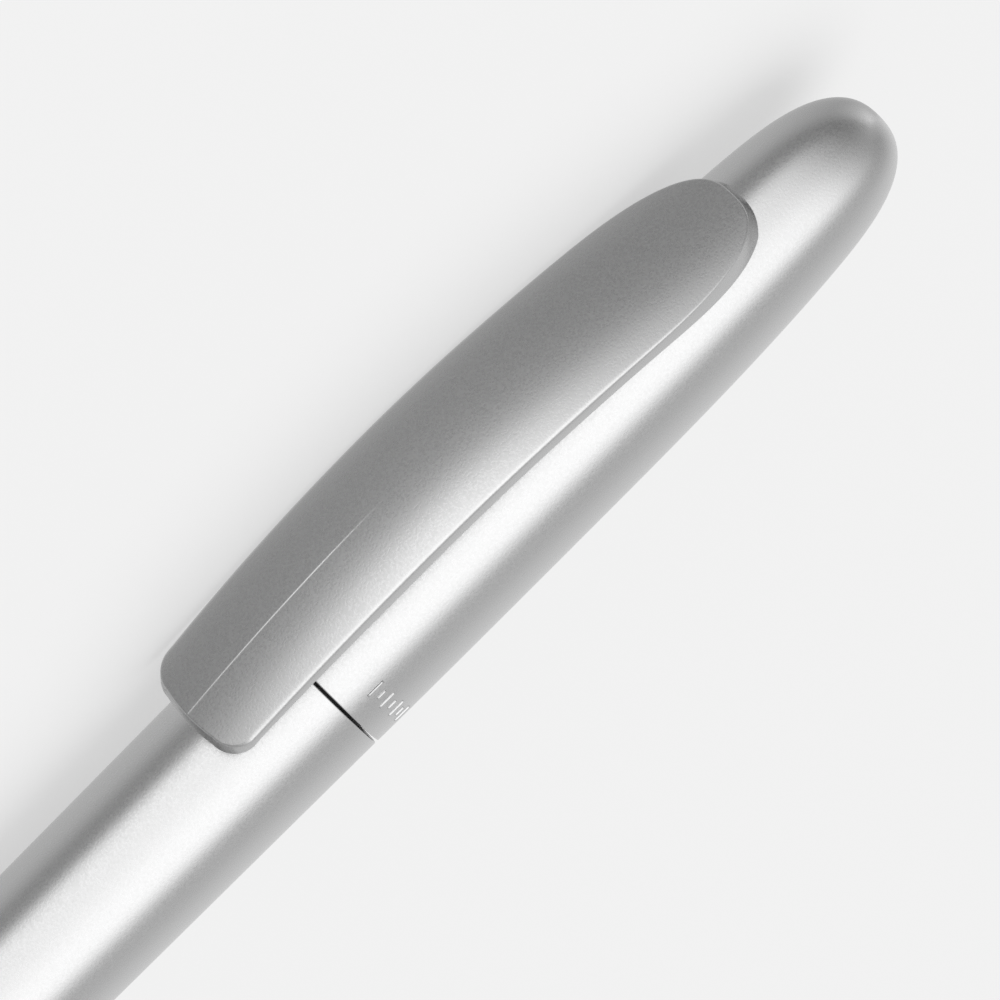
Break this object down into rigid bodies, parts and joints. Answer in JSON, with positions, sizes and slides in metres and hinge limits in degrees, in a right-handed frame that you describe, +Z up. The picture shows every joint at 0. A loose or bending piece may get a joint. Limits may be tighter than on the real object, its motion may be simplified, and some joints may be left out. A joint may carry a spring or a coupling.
{
  "type": "twist-action ballpoint pen",
  "caption": "Slim round pen with a domed twist casing, a wide arched pocket clip, a flush lower barrel, a screw-on nose cone and an extended ballpoint tip.",
  "frame": {"origin": "centre of the bounding box's bottom, on the plane that the pen lies on", "axes": "+X along the pen towards its tip, +Z up; at rest the clip points towards -Y, 4.1 degrees below level"},
  "size_m": [0.144, 0.0158, 0.0118],
  "materials": {
    "silver_lacquer": "fine-grained satin metallic silver lacquer over moulded plastic",
    "brass": "turned",
    "steel": "turned stainless steel",
    "carbide": "polished hard ball",
    "black_plastic": "moulded, matt",
    "white_plastic": "moulded, natural",
    "rubber": "matt",
    "ink": "wet dark paste",
    "grease": "translucent grease"
  },
  "bodies": {
    "barrel": {"lower_barrel": "silver_lacquer", "nose_thread_insert": "brass", "mechanism_bush": "black_plastic", "friction_ring": "rubber", "guide_sleeve": "white_plastic", "thrust_washer": "steel", "retaining_ring": "steel"},
    "upper": {"upper_casing": "silver_lacquer", "clip_retainer": "black_plastic", "drive_bush": "black_plastic", "cam_sleeve": "black_plastic"},
    "clip": {"clip": "silver_lacquer"},
    "plunger": {"plunger": "white_plastic", "cam_pin": "steel"},
    "refill": {"refill_tube": "white_plastic", "refill_tail_plug": "white_plastic", "refill_nose": "white_plastic", "refill_tip": "steel", "ink_column": "ink", "ink_follower": "grease"},
    "ball": {"tip_ball": "carbide"},
    "nose": {"nose_cone": "silver_lacquer", "return_spring": "steel"}
  },
  "joints": [
    {"name": "twist", "type": "hinge", "parent": "barrel", "child": "upper", "pos_m": [-0.0188, 0.00202, 0.0059], "axis": [-1, 0, 0], "range_deg": [0, 180]},
    {"name": "plunger_slide", "type": "slide", "parent": "barrel", "child": "plunger", "axis": [-1, 0, 0], "range_m": [0, 0.00481]},
    {"name": "refill_slide", "type": "slide", "parent": "barrel", "child": "refill", "axis": [-1, 0, 0], "range_m": [0, 0.00481], "deforming": ["return_spring"]},
    {"name": "clip_flex", "type": "hinge", "parent": "upper", "child": "clip", "pos_m": [-0.0607, -0.00336, 0.00552], "axis": [0, 0.071, -0.9975], "range_deg": [0, 3], "stiffness_Nm_per_rad": 0.8},
    {"name": "nose_unscrew", "type": "slide", "parent": "barrel", "child": "nose", "axis": [1, 0, 0], "range_m": [0, 0.008]},
    {"name": "ball_roll", "type": "hinge", "parent": "refill", "child": "ball", "pos_m": [0.0715, 0.00202, 0.0059], "axis": [0, 1, 0], "continuous": true}
  ],
  "couplings": [
    {"joint": "plunger_slide", "follows": "twist", "m_per_rad": 0.0015279},
    {"joint": "refill_slide", "follows": "twist", "m_per_rad": 0.0015279}
  ]
}
